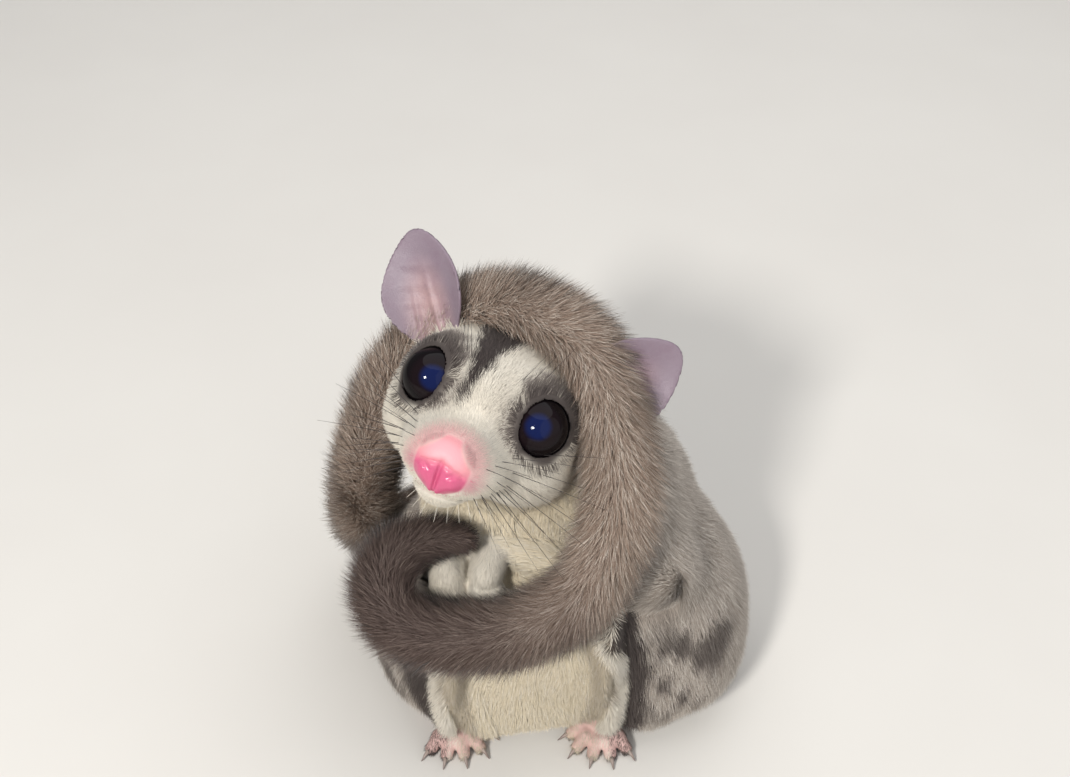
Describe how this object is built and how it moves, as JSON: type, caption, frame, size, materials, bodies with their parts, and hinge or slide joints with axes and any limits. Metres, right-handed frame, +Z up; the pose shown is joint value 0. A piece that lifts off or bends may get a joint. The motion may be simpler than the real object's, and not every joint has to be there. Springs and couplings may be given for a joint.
{
  "type": "sugar glider",
  "caption": "Life-size sugar glider sitting upright and looking up, its bushy tail wound behind the head and across the chest.",
  "frame": {"origin": "on the floor, under the middle of the model's box", "axes": "+Z up, the animal faces -Y, and its own left side is +X"},
  "size_m": [0.0672, 0.058, 0.0706],
  "materials": {
    "coat": "soft short grey-brown fur with a cream belly",
    "face": "very short white fur with a dark forehead stripe and dark eye rings",
    "tail": "bushy grey-brown fur, nearly black towards the tip",
    "ear": "thin bare lilac-grey skin with a faint sheen",
    "eye": "polished, very dark brown with a blue-black pupil",
    "nose": "moist bare pink skin",
    "paw": "bare pale pink skin under very short pale fur"
  },
  "bodies": {
    "root": {"nose": "nose", "eye_left": "eye", "eye_right": "eye", "ear_left": "ear", "ear_right": "ear", "hand_left": "paw", "hand_right": "paw", "tail_end": "tail", "tail_cheek": "tail", "tail_rise": "tail", "tail_base": "tail", "head": "face", "membrane_left": "coat", "membrane_right": "coat", "forearm_left": "coat", "forearm_right": "coat", "upper_arm_left": "coat", "upper_arm_right": "coat", "trunk": "coat", "neck": "coat", "hind_leg_left": "coat", "hind_leg_right": "coat", "foot_left": "paw", "foot_right": "paw"}
  },
  "joints": []
}
